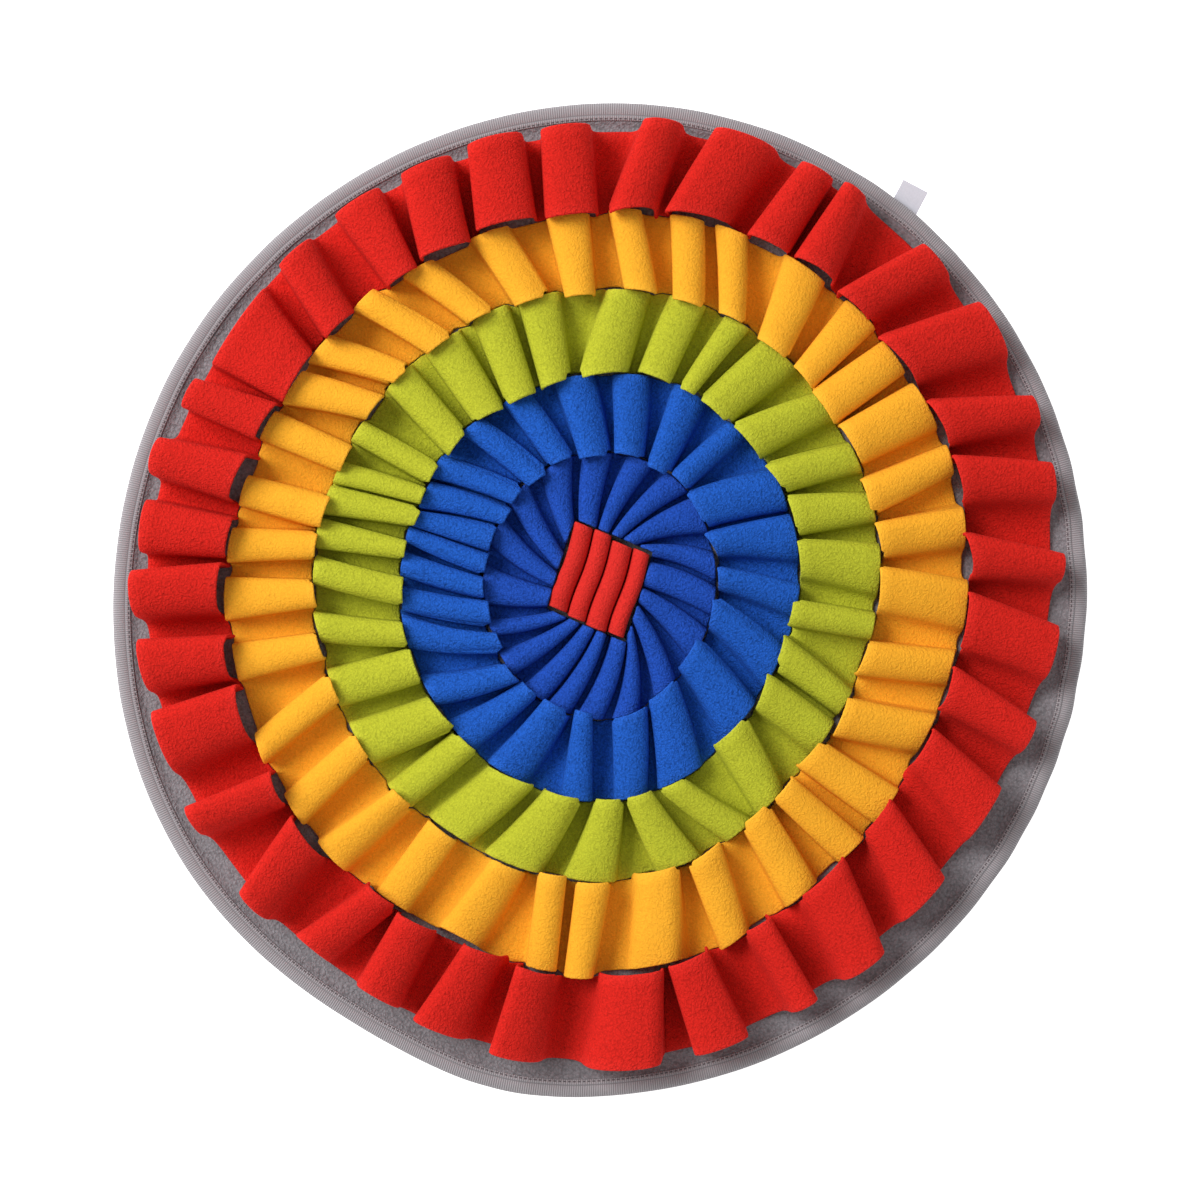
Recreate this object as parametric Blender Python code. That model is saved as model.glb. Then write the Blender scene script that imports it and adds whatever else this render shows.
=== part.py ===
"""Snuffle mat: a round fleece base with a bound edge and five rings of looped fleece strip.

The mat lies flat, its underside at z = 0 and +Y at the top of its picture. Lengths in the
tables are in millimetres, and angles are in degrees clockwise from +Y, seen from above.
"""
import bmesh
import bpy
import math

MM = 0.001

# Base and binding
BASE_HALF_X = 279.4
BASE_HALF_Y = 288.2
BASE_THICKNESS = 3.0
EDGE_STATIONS = 72
BINDING_WIDTH = 10.5
BINDING_HEIGHT = 5.6
BINDING_THICKNESS = 1.0
# Where the outline leaves an ellipse: angle, spread and bulge
OUTLINE_BULGES = ((62, 30, 3.4), (150, 26, -5.5), (192, 8, 3.0), (209, 12, -4.0),
                  (247, 14, 2.4), (332, 24, -5.0))
# Moves the outline's own middle to the origin
MIDDLE_X = -0.7
MIDDLE_Y = 0.12

# Label
LABEL_ANGLE = 37.9
LABEL_LEAN = 10.0
LABEL_WIDTH = 16.0
LABEL_SHOWS = 14.0
LABEL_TUCKED = 7.0
LABEL_THICKNESS = 0.8
LABEL_LIFT = 1.2

# Looped strips
STRIP_THICKNESS = 1.8
STRIP_FLOOR = BASE_THICKNESS + 0.3 + STRIP_THICKNESS / 2
LANE_GAP = 1.5
SEAM_HALF = 1.3
STRIP_END = 0.4
OVERHANG = 3.0
OUTWARD_PER_MM = 0.09
LOWER_PER_MM = 0.025
# Where the lanes leave an ellipse, for a lane of 260 mm radius: angle, spread and bulge
LANE_BULGES = ((30, 25, 5.5), (68, 14, 3.0), (132, 22, -10.5), (180, 10, 1.8), (207, 12, -2.5),
               (280, 12, 1.5), (298, 10, -2.5), (346, 18, -4.5))
# Name, middle x and y, outer half width in x and y, and rise of the loops over their seam
LANES = (
    ("ring_red", 0.6, 2.6, 259.5, 267.0, 31.0),
    ("ring_yellow", -0.6, 3.7, 211.3, 218.9, 24.0),
    ("ring_green", -1.1, 8.7, 162.0, 170.6, 22.0),
    ("ring_blue", 0.6, 7.5, 114.8, 123.3, 20.0),
    ("ring_royal", 0.6, 8.7, 67.5, 77.5, 18.0),
)
# The royal ring's inner edge goes round the pleated middle: angle, spread and bulge on 26 mm
HUB_RADIUS = 26.0
HUB_BULGES = ((335, 11, 12.5), (8, 14, 9.0), (36, 10, 2.2), (62, 12, 8.0), (107, 12, -1.0),
              (154, 10, 8.0), (178, 12, 7.0), (200, 10, 2.0), (247, 12, 7.7), (292, 12, -0.7))

# Each row is a loop: where its top starts and ends at the strip's outer edge, the same two at
# its inner edge, its lean (-1 is folded over anticlockwise, +1 clockwise) and how far its crest
# reaches past the lane. A red loop's last column is how far its crest stands back from the
# lane's inner edge. The angles run on past 360, from one end of the strip to the other.
RED_LOOPS = (
    (172.5, 182.0, 170.3, 180.0, -1.0, 2.5, 2.0),
    (187.0, 193.7, 186.0, 192.8, 1.0, 1.5, 2.0),
    (196.8, 203.8, 194.6, 201.4, 0.9, 0.5, 2.0),
    (206.0, 212.0, 205.8, 212.6, 0.6, -1.5, 2.0),
    (216.5, 221.8, 213.1, 218.8, 0.5, -3.5, 2.0),
    (225.4, 230.6, 226.0, 234.5, 0.9, 3.5, 5.0),
    (238.7, 243.0, 236.2, 242.0, 0.7, 4.0, 2.0),
    (247.0, 255.5, 247.0, 256.3, 1.0, 3.5, 2.5),
    (257.8, 264.6, 257.0, 264.0, 0.8, 4.0, 3.0),
    (267.1, 273.1, 267.0, 275.0, 0.8, 6.5, 5.5),
    (275.3, 282.0, 275.6, 282.0, 0.4, 3.0, 2.0),
    (285.0, 289.8, 284.2, 291.9, 0.5, 7.0, 5.0),
    (294.2, 298.3, 294.2, 300.8, 0.0, 2.0, 2.0),
    (300.8, 312.5, 301.2, 310.5, -0.4, -2.5, 2.0),
    (315.7, 321.0, 313.1, 319.3, -0.5, -0.5, 2.0),
    (325.0, 331.6, 325.4, 331.0, 0.2, 1.5, 2.0),
    (334.6, 341.3, 331.9, 340.0, -0.4, 2.0, 2.0),
    (343.5, 350.5, 341.3, 350.5, -0.4, 4.0, 2.0),
    (352.7, 358.9, 351.8, 359.8, -0.3, 2.5, 2.0),
    (365.2, 370.2, 361.4, 368.5, -0.6, 4.0, 7.0),
    (373.8, 382.0, 369.6, 379.5, -1.0, 4.5, 6.0),
    (384.9, 389.4, 382.2, 389.0, -0.5, 1.5, 2.0),
    (390.6, 394.0, 389.8, 397.0, -0.6, 2.5, 5.5),
    (402.5, 408.0, 398.0, 405.0, -1.0, 2.5, 4.5),
    (412.1, 420.0, 407.1, 416.5, -1.0, 5.0, 5.5),
    (425.1, 429.2, 419.2, 427.0, -0.8, 5.0, 7.5),
    (433.5, 438.7, 428.3, 436.0, -1.0, 3.5, 5.5),
    (444.8, 448.5, 440.2, 447.5, -0.8, 4.0, 4.5),
    (453.7, 461.0, 449.4, 458.8, -1.0, 3.5, 2.5),
    (466.0, 470.8, 461.3, 468.8, -0.9, 3.0, 2.0),
    (475.5, 484.0, 471.7, 479.0, -1.0, 0.0, 2.0),
    (489.2, 497.5, 485.0, 492.5, -1.0, 1.5, 2.0),
    (501.3, 508.0, 497.0, 507.0, -1.0, 5.0, 2.0),
    (511.6, 515.6, 512.0, 516.7, -0.8, 2.5, 2.0),
    (521.3, 528.4, 523.0, 529.6, 0.0, 2.5, 2.0),
)
YELLOW_LOOPS = (
    (1.6, 6.6, 4.7, 11.2, 0.0, 1.5),
    (10.8, 16.1, 14.0, 20.2, 0.0, 1.5),
    (17.7, 23.0, 23.2, 28.4, 0.0, 1.5),
    (28.8, 36.3, 31.9, 38.8, -0.1, 1.5),
    (40.2, 46.5, 40.7, 46.5, -0.1, 1.5),
    (48.4, 54.4, 46.6, 54.6, -0.2, 1.5),
    (56.2, 64.2, 55.0, 64.0, -0.6, 1.5),
    (66.8, 71.6, 66.6, 74.0, -0.2, 1.5),
    (76.6, 83.0, 75.7, 83.0, -0.7, 0.0),
    (87.8, 96.0, 84.6, 94.0, -1.0, 0.0),
    (98.9, 104.8, 100.0, 107.5, -0.3, -2.5),
    (109.6, 116.5, 112.4, 121.3, -0.6, -1.5),
    (122.9, 129.8, 123.3, 131.0, -0.1, 1.5),
    (132.4, 138.3, 133.2, 139.6, 0.0, 1.0),
    (142.6, 149.2, 141.1, 148.5, -0.2, 0.5),
    (155.7, 161.1, 153.8, 161.6, 0.0, 1.0),
    (166.9, 175.5, 163.5, 172.5, -0.8, -2.0),
    (180.6, 185.1, 177.5, 184.4, 0.0, 1.5),
    (186.2, 191.0, 186.2, 192.0, 0.0, 1.5),
    (198.0, 205.6, 194.4, 202.0, 0.6, -4.0),
    (210.6, 216.7, 209.5, 216.8, 0.0, -2.0),
    (222.0, 228.5, 220.8, 226.4, 0.6, 1.5),
    (231.7, 237.5, 233.8, 240.2, 0.0, 0.0),
    (242.8, 247.9, 246.5, 253.2, 0.1, 1.0),
    (256.1, 262.2, 256.3, 262.1, 0.0, -1.5),
    (265.7, 272.6, 267.0, 272.8, 0.0, 0.5),
    (274.7, 280.3, 276.7, 282.3, 0.0, 0.5),
    (283.7, 288.8, 283.2, 290.0, 0.0, 1.5),
    (294.4, 299.6, 295.0, 301.1, 0.0, 1.5),
    (301.0, 307.2, 306.6, 312.8, -0.1, 1.0),
    (308.5, 314.2, 314.8, 320.4, -0.1, 0.5),
    (319.2, 323.8, 324.2, 330.4, 0.0, 1.5),
    (328.3, 333.8, 334.0, 339.6, 0.0, 1.0),
    (340.2, 346.4, 343.7, 350.7, -0.2, 1.5),
    (352.1, 358.8, 353.6, 359.6, -0.1, 0.5),
)
GREEN_LOOPS = (
    (1.8, 10.5, -4.5, 8.5, -0.5, 1),
    (14.0, 21.6, 11.0, 20.3, 0.0, 0),
    (25.4, 31.0, 22.8, 27.4, 0.0, 0),
    (34.0, 43.4, 29.2, 40.0, -0.6, 1),
    (48.6, 55.3, 40.4, 52.5, -0.6, 0),
    (60.4, 67.0, 54.6, 64.2, -0.4, 0),
    (71.2, 77.4, 64.9, 76.5, -0.4, 0),
    (81.6, 92.5, 77.5, 88.5, -1.0, 0),
    (95.7, 101.5, 94.3, 102.2, -0.1, 0),
    (112.3, 118.5, 105.1, 116.0, -0.5, 0),
    (119.8, 128.4, 117.4, 128.5, -0.8, 0),
    (137.5, 145.3, 131.9, 144.0, -0.4, 0),
    (146.6, 153.6, 155.2, 162.8, 0.0, 0),
    (158.9, 168.5, 165.0, 172.2, 0.0, 0),
    (176.3, 186.5, 173.0, 180.8, -0.2, 1),
    (190.8, 202.8, 184.3, 194.5, -0.3, 1),
    (206.0, 216.2, 197.4, 211.0, -0.8, 0),
    (219.8, 226.5, 215.7, 224.5, -0.4, 0),
    (231.2, 241.0, 225.0, 236.5, -0.5, 1),
    (244.4, 252.7, 240.8, 251.4, -0.2, 0),
    (258.0, 264.7, 252.0, 259.6, 0.0, 0),
    (270.0, 276.0, 264.1, 272.4, 0.0, 1),
    (277.3, 283.7, 277.4, 283.2, 0.0, 0),
    (284.4, 290.6, 287.1, 293.4, 0.0, 0),
    (291.0, 296.0, 294.2, 299.5, 0.0, 0),
    (300.2, 305.3, 300.6, 307.5, 0.0, 0),
    (312.7, 319.9, 310.8, 319.9, -0.1, 0),
    (323.3, 331.8, 322.7, 332.5, -0.1, 0),
    (334.7, 342.5, 333.5, 342.6, -0.1, 0),
    (344.4, 353.0, 344.2, 353.0, -0.3, 1),
)
BLUE_LOOPS = (
    (200.0, 212.8, 193.0, 206.5, 0.5, 0),
    (217.4, 228.6, 210.0, 220.0, -0.3, 0),
    (233.5, 243.9, 220.6, 232.5, -0.3, 1),
    (251.8, 262.2, 237.1, 247.0, 0.0, 0),
    (263.0, 270.2, 251.2, 263.0, 0.0, 1),
    (273.1, 280.4, 264.5, 274.8, 0.0, 1),
    (282.8, 287.7, 276.2, 286.5, 0.0, 0),
    (287.9, 292.6, 287.6, 300.3, 0.0, 0),
    (293.4, 302.2, 301.8, 311.3, 0.0, 0),
    (302.6, 310.0, 312.6, 321.6, 0.0, 0),
    (317.8, 325.4, 324.0, 335.5, 0.0, 0),
    (332.0, 340.3, 336.6, 348.4, 0.0, 0),
    (347.3, 358.8, 350.7, 364.6, -0.5, 0),
    (363.3, 373.8, 366.0, 379.0, -0.5, 1),
    (380.0, 390.5, 380.7, 392.0, -0.5, 0),
    (397.6, 404.5, 392.3, 402.5, -0.3, 0),
    (415.4, 428.0, 403.0, 421.5, -0.5, 0),
    (428.9, 443.0, 423.1, 436.0, -0.8, 0),
    (449.2, 459.3, 440.5, 452.0, -0.8, 0),
    (467.6, 481.6, 455.6, 471.0, -0.8, 0),
    (485.8, 501.6, 477.9, 496.0, -0.8, 1),
    (510.0, 524.0, 500.8, 517.0, -0.2, 0),
    (527.0, 536.3, 518.6, 535.0, 0.0, 0),
    (541.8, 550.6, 543.0, 551.5, 0.0, 0),
)
ROYAL_LOOPS = (
    (352.0, 365.6, 341.5, 357.5, -0.2, 0),
    (372.0, 384.5, 358.5, 370.5, -0.2, 0),
    (390.5, 403.5, 373.3, 385.5, -0.2, 0),
    (406.0, 424.5, 387.3, 403.0, -0.3, 0),
    (433.5, 447.8, 406.0, 423.0, -0.2, 0),
    (450.8, 465.3, 426.0, 453.0, -0.2, 0),
    (472.3, 490.0, 455.0, 475.0, -0.2, 0),
    (501.0, 514.0, 479.0, 498.0, -0.2, 0),
    (522.0, 534.7, 502.0, 512.0, -0.2, 0),
    (538.5, 550.3, 515.4, 528.5, -0.2, 0),
    (553.0, 563.8, 533.0, 544.5, -0.2, 0),
    (565.0, 577.2, 547.0, 563.5, -0.2, 0),
    (583.5, 596.5, 567.5, 582.0, -0.2, 0),
    (604.0, 613.0, 585.0, 601.0, -0.2, 0),
    (620.5, 640.0, 608.0, 626.0, -0.2, 0),
    (650.0, 665.0, 628.5, 647.0, -0.3, 0),
    (672.5, 684.8, 650.4, 672.0, -0.2, 0),
    (691.5, 708.0, 680.8, 698.0, -0.2, 0),
)

# Pleated middle: where it sits, how its pleats point, its length and the rise of its pleats
PLEAT_X = 0.6
PLEAT_Y = 11.0
PLEAT_TURN = 17.4
PLEAT_SKEW = 6.2
PLEAT_LENGTH = 49.0
PLEAT_RISE = 16.0
# Each row is a pleat: where its top starts and ends across the piece, and its lean
PLEATS = (
    (-23.6, -12.0, -0.2),
    (-11.2, -0.6, 0.0),
    (0.2, 12.6, 0.0),
    (13.4, 23.4, 0.2),
)

# Colours, one row for each piece
COLOURS = {
    "base": (0.226, 0.199, 0.216),
    "binding": (0.30, 0.27, 0.28),
    "label": (0.78, 0.78, 0.80),
    "ring_red": (0.62, 0.018, 0.015),
    "ring_yellow": (0.90, 0.42, 0.018),
    "ring_green": (0.42, 0.46, 0.018),
    "ring_blue": (0.010, 0.075, 0.38),
    "ring_royal": (0.010, 0.045, 0.29),
    "centre": (0.62, 0.018, 0.015),
}


def turned(angle):
    """Unit vector at an angle clockwise from +Y."""
    return math.sin(math.radians(angle)), math.cos(math.radians(angle))


def bulge(rows, angle):
    """Sum of smooth bulges at an angle."""
    total = 0.0
    for middle, spread, height in rows:
        away = (angle - middle + 180) % 360 - 180
        total += height * math.exp(-0.5 * (away / spread) ** 2)
    return total


def oval(half_x, half_y, angle):
    """Radius of an ellipse at an angle."""
    x, y = turned(angle)
    return half_x * half_y / math.hypot(half_y * x, half_x * y)


def new_solid(collection, name, points, faces):
    """Make one closed piece from points in millimetres, with a matt material of its own."""
    mesh = bpy.data.meshes.new(name)
    mesh.from_pydata([(x * MM, y * MM, z * MM) for x, y, z in points], [], faces)
    shell = bmesh.new()
    shell.from_mesh(mesh)
    bmesh.ops.recalc_face_normals(shell, faces=shell.faces)
    shell.to_mesh(mesh)
    shell.free()
    piece = bpy.data.objects.new(name, mesh)
    collection.objects.link(piece)
    material = bpy.data.materials.new(name)
    material.use_nodes = True
    shader = material.node_tree.nodes["Principled BSDF"]
    shader.inputs["Base Color"].default_value = COLOURS[name] + (1.0,)
    shader.inputs["Roughness"].default_value = 0.9
    mesh.materials.append(material)
    return piece


# ---------------------------------------------------------------- base and its edge
def outline_radius(angle):
    """Radius of the mat's bound edge."""
    return oval(BASE_HALF_X, BASE_HALF_Y, angle) + bulge(OUTLINE_BULGES, angle)


def label_lift(angle):
    """Height that the edge is raised where the label passes under it."""
    away = abs((angle - LABEL_ANGLE + 180) % 360 - 180)
    blend = min(max((7.0 - away) / 4.5, 0.0), 1.0)
    return LABEL_LIFT * blend * blend * (3 - 2 * blend)


def edge_angles():
    """Angles of the stations round the edge, closer together at the label."""
    even = [360.0 * step / EDGE_STATIONS for step in range(EDGE_STATIONS)]
    away = [angle for angle in even if abs(angle - LABEL_ANGLE) > 8]
    near = [LABEL_ANGLE + offset for offset in (-7, -4.8, -2.4, 0, 2.4, 4.8, 7)]
    return sorted(away + near)


def edge_point(angle, inset, height, lifted):
    """A point a distance in from the outline."""
    x, y = turned(angle)
    radius = outline_radius(angle) - inset
    return (radius * x + MIDDLE_X, radius * y + MIDDLE_Y, height + lifted * label_lift(angle))


def swept_ring(section, angles):
    """Points and faces of a section of (inset, height, lifted) rows swept round the edge."""
    points = [edge_point(angle, *row) for angle in angles for row in section]
    faces = []
    size = len(section)
    for turn in range(len(angles)):
        here = turn * size
        there = (turn + 1) % len(angles) * size
        for step in range(size):
            follow = (step + 1) % size
            faces.append((here + step, there + step, there + follow, here + follow))
    return points, faces


def base_mesh():
    """The disc lies on the floor and rises at its rim to clear the binding's lower leg."""
    inside = BINDING_THICKNESS + 0.3
    angles = edge_angles()
    rim = inside + 0.9
    flat = 13.6
    rows = ((150.0, 0.0, 0), (flat, 0.0, 0), (11.2, inside, 1), (rim, inside, 1),
            (rim, inside + BASE_THICKNESS, 1), (11.2, inside + BASE_THICKNESS, 1),
            (flat, BASE_THICKNESS, 0), (150.0, BASE_THICKNESS, 0))
    points = [edge_point(angle, *row) for angle in angles for row in rows]
    size = len(rows)
    faces = []
    for turn in range(len(angles)):
        here = turn * size
        there = (turn + 1) % len(angles) * size
        for step in range(size - 1):
            faces.append((here + step, there + step, there + step + 1, here + step + 1))
    under = len(points)
    points.append((MIDDLE_X, MIDDLE_Y, 0.0))
    points.append((MIDDLE_X, MIDDLE_Y, BASE_THICKNESS))
    for turn in range(len(angles)):
        here = turn * size
        there = (turn + 1) % len(angles) * size
        faces.append((under, there, here))
        faces.append((under + 1, here + size - 1, there + size - 1))
    return points, faces


def binding_mesh():
    """Tape folded over the base's edge."""
    wide = BINDING_WIDTH
    tall = BINDING_HEIGHT
    thick = BINDING_THICKNESS
    section = ((wide, 0.0, 1), (1.4, 0.0, 1), (0.0, 1.6, 1), (0.0, tall - 1.6, 1),
               (1.4, tall, 1), (wide, tall, 1), (wide, tall - thick, 1),
               (1.0 + thick * 0.6, tall - thick, 1), (thick, tall - 1.9, 1), (thick, 1.9, 1),
               (1.0 + thick * 0.6, thick, 1), (wide, thick, 1))
    return swept_ring(section, edge_angles())


def label_mesh():
    """A flat tab of tape that comes out from under the binding."""
    x, y = turned(LABEL_ANGLE)
    along_x, along_y = turned(LABEL_ANGLE - LABEL_LEAN)
    radius = outline_radius(LABEL_ANGLE)
    points = []
    for distance in (-LABEL_TUCKED, 0.0, LABEL_SHOWS):
        for side in (-0.5, 0.5):
            for height in (0.0, LABEL_THICKNESS):
                across = side * LABEL_WIDTH
                points.append((radius * x + MIDDLE_X + along_x * distance + along_y * across,
                               radius * y + MIDDLE_Y + along_y * distance - along_x * across,
                               height))
    faces = [(0, 1, 3, 2), (8, 10, 11, 9)]
    for step in (0, 4):
        faces += [(step + 1, step + 5, step + 7, step + 3), (step, step + 2, step + 6, step + 4),
                  (step, step + 4, step + 5, step + 1), (step + 2, step + 3, step + 7, step + 6)]
    return points, faces


# ---------------------------------------------------------------- looped strips
def lane_radius(lane, angle):
    """Outer radius of a lane about its own middle."""
    half_x, half_y = lane[3], lane[4]
    return oval(half_x, half_y, angle) + bulge(LANE_BULGES, angle) * half_x / 260.0


def inner_radius(number, angle):
    """Inner radius of a lane about its own middle, a gap away from the next lane."""
    lane = LANES[number]
    if number + 1 == len(LANES):
        return HUB_RADIUS + bulge(HUB_BULGES, angle)
    follow = LANES[number + 1]
    x, y = turned(angle)
    radius = follow[3] + LANE_GAP
    for attempt in range(5):
        away_x = lane[1] + radius * x - follow[1]
        away_y = lane[2] + radius * y - follow[2]
        bearing = math.degrees(math.atan2(away_x, away_y))
        radius += lane_radius(follow, bearing) + LANE_GAP - math.hypot(away_x, away_y)
    return radius


def seam_angles(loops, first, last, radius):
    """Angle of the seam after each loop, and of the one before the first."""
    seams = []
    turns = [loops[-1]] + list(loops)
    for number in range(len(turns) - 1):
        back = 360.0 if number == 0 else 0.0
        ends = turns[number][last] - back
        starts = turns[number + 1][first]
        lean = (turns[number][4] + turns[number + 1][4]) / 2
        loop = turns[number + 1] if lean < 0 else turns[number]
        width = math.radians(loop[last] - loop[first]) * radius
        over = min(OVERHANG, 0.15 * width) / radius
        half = (starts - ends) / 2 + math.degrees(over) * abs(lean)
        seams.append((ends + starts) / 2 - lean * half)
    seams.append(seams[0] + 360.0)
    return seams


def blended(rows, others, share):
    """Rows part way between two tables."""
    return [tuple(a + (b - a) * share for a, b in zip(row, other))
            for row, other in zip(rows, others)]


def loop_side(soft, room, detail):
    """Shoulder and flank of one side of a loop, as shares of its rise and of the way out.

    A side with a softness of 1 slopes down to the seam, one of 0 is upright over a flat
    trough, and one of -1 overhangs the seam. A side with little room before its seam goes
    straight down to it.
    """
    if detail:
        upright = ((1.0, 0.0), (0.08, 0.02), (-0.03, 0.45))
        slope = ((1.0, 0.0), (0.5, 0.12), (0.18, 0.55))
        under = ((1.0, 0.0), (0.6, 0.25), (0.25, 0.62))
    else:
        upright = ((1.0, 0.0), (0.05, 0.2))
        slope = ((1.0, 0.0), (0.35, 0.3))
        under = ((1.0, 0.0), (0.4, 0.45))
    shoulder = 0.86 - 0.40 * max(soft, 0.0) + 0.06 * max(-soft, 0.0)
    upright = under if room < 1.4 else upright
    return shoulder, blended(upright, slope if soft > 0 else under, abs(soft))


def loop_line(start, end, foot_start, foot_end, lean, rise, detail):
    """Middle line of one loop, in distance along the strip and height over the seam."""
    peak = start + (end - start) * (0.5 + 0.3 * lean)
    share, flank = loop_side(lean, start - foot_start, detail)
    near = share * rise
    line = [(start + (foot_start - start) * along, near * up) for along, up in flank]
    line.append((start, near))
    bend = (30.0, 60.0) if detail else (45.0,)
    for turn in bend:
        up, across = turned(turn)
        line.append((peak + (start - peak) * across, near + (rise - near) * up))
    line.append((peak, rise))
    share, flank = loop_side(-lean, foot_end - end, detail)
    far = share * rise
    for turn in reversed(bend):
        up, across = turned(turn)
        line.append((peak + (end - peak) * across, far + (rise - far) * up))
    line.append((end, far))
    line += [(end + (foot_end - end) * along, far * up) for along, up in reversed(flank)]
    return line


def seam_radius(number, inner, angle):
    """Radius of a strip's outer or inner edge along its seams."""
    return inner_radius(number, angle) if inner else lane_radius(LANES[number], angle)


def strip_line(number, loops, inner, detail):
    """Middle line of a strip at one edge, and how far out of its seam radius each point is."""
    radius = sum(seam_radius(number, inner, angle) for angle in range(0, 360, 10)) / 36
    scale = math.radians(radius)
    first, last = (2, 3) if inner else (0, 1)
    seams = [seam * scale for seam in seam_angles(loops, first, last, radius)]
    half = STRIP_THICKNESS / 2
    line = [(seams[0] + STRIP_END, 0.0)]
    past = [0.0]
    for order, loop in enumerate(loops):
        rise = LANES[number][5] * (1.0 + 0.035 * math.sin(2.4 * order + number))
        rise *= 1.0 - LOWER_PER_MM * max(2.0 - loop[5], 0.0)
        out = loop[5]
        if inner:
            out = loop[6] if number == 0 else OUTWARD_PER_MM * rise
        piece = loop_line(loop[first] * scale + half, loop[last] * scale - half,
                          seams[order] + SEAM_HALF, seams[order + 1] - SEAM_HALF,
                          loop[4], rise, detail)
        line += piece
        past += [out * max(height, 0.0) / rise for along, height in piece]
    line.append((seams[-1] - STRIP_END, 0.0))
    past.append(0.0)
    return line, past, radius


def offset_line(line, distance):
    """The line moved sideways, with its corners mitred."""
    moved = []
    for here in range(len(line)):
        before = line[max(here - 1, 0)]
        after = line[min(here + 1, len(line) - 1)]
        directions = []
        for start, end in ((before, line[here]), (line[here], after)):
            length = math.hypot(end[0] - start[0], end[1] - start[1])
            if length > 0:
                directions.append(((end[0] - start[0]) / length, (end[1] - start[1]) / length))
        along = sum(direction[0] for direction in directions)
        up = sum(direction[1] for direction in directions)
        length = math.hypot(along, up)
        along, up = along / length, up / length
        turn = max(along * directions[0][0] + up * directions[0][1], 0.6)
        moved.append((line[here][0] - up * distance / turn, line[here][1] + along * distance / turn))
    return moved


def strip_edges(number, loops, detail):
    """Outer upper, outer lower, inner upper and inner lower lines of a strip."""
    lane = LANES[number]
    rows = []
    for inner in (False, True):
        line, past, radius = strip_line(number, loops, inner, detail)
        for side in (0.5, -0.5):
            row = []
            for (along, height), out in zip(offset_line(line, side * STRIP_THICKNESS), past):
                angle = math.degrees(along / radius)
                x, y = turned(angle)
                out += seam_radius(number, inner, angle)
                row.append((lane[1] + MIDDLE_X + out * x, lane[2] + MIDDLE_Y + out * y,
                            STRIP_FLOOR + height))
            rows.append(row)
    return rows


def strip_mesh(rows):
    """Closed strip between outer upper, outer lower, inner upper and inner lower lines."""
    outer_up, outer_low, inner_up, inner_low = rows
    count = len(outer_up)
    points = outer_up + outer_low + inner_up + inner_low
    faces = []
    for here in range(count - 1):
        there = here + 1
        for first, second in ((0, 2), (3, 1), (1, 0), (2, 3)):
            a, b = first * count, second * count
            faces.append((a + here, b + here, b + there))
            faces.append((a + here, b + there, a + there))
    last = count - 1
    faces.append((0, count, 3 * count, 2 * count))
    faces.append((last, 2 * count + last, 3 * count + last, count + last))
    return points, faces


# ---------------------------------------------------------------- pleated middle
def pleat_mesh():
    """Strip laid in narrow pleats side by side."""
    line = []
    seams = [PLEATS[0][0] + 1.4]
    for pleat, follow in zip(PLEATS, PLEATS[1:]):
        seams.append((pleat[1] + follow[0]) / 2)
    seams.append(PLEATS[-1][1] - 1.4)
    half = STRIP_THICKNESS / 2
    for order, pleat in enumerate(PLEATS):
        before = seams[order] + (0.0 if order == 0 else 1.0)
        after = seams[order + 1] - (0.0 if order == len(PLEATS) - 1 else 1.0)
        line += loop_line(pleat[0] + half, pleat[1] - half, before, after, pleat[2],
                          PLEAT_RISE, True)
    across_x, across_y = turned(90.0 + PLEAT_TURN + PLEAT_SKEW)
    up_x, up_y = turned(PLEAT_TURN)
    rows = []
    for end in (0.5, -0.5):
        for side in (0.5, -0.5):
            row = []
            for along, height in offset_line(line, side * STRIP_THICKNESS):
                row.append((PLEAT_X + MIDDLE_X + across_x * along + up_x * end * PLEAT_LENGTH,
                            PLEAT_Y + MIDDLE_Y + across_y * along + up_y * end * PLEAT_LENGTH,
                            STRIP_FLOOR + height))
            rows.append(row)
    return strip_mesh(rows)


# ---------------------------------------------------------------- assembly
for old in list(bpy.data.objects):
    bpy.data.objects.remove(old, do_unlink=True)
snuffle_mat = bpy.data.collections.new("snuffle_mat")
bpy.context.scene.collection.children.link(snuffle_mat)
new_solid(snuffle_mat, "base", *base_mesh())
new_solid(snuffle_mat, "binding", *binding_mesh())
new_solid(snuffle_mat, "label", *label_mesh())
ALL_LOOPS = (RED_LOOPS, YELLOW_LOOPS, GREEN_LOOPS, BLUE_LOOPS, ROYAL_LOOPS)
for number, loops in enumerate(ALL_LOOPS):
    new_solid(snuffle_mat, LANES[number][0], *strip_mesh(strip_edges(number, loops, number < 3)))
new_solid(snuffle_mat, "centre", *pleat_mesh())
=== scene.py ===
import math

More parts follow.
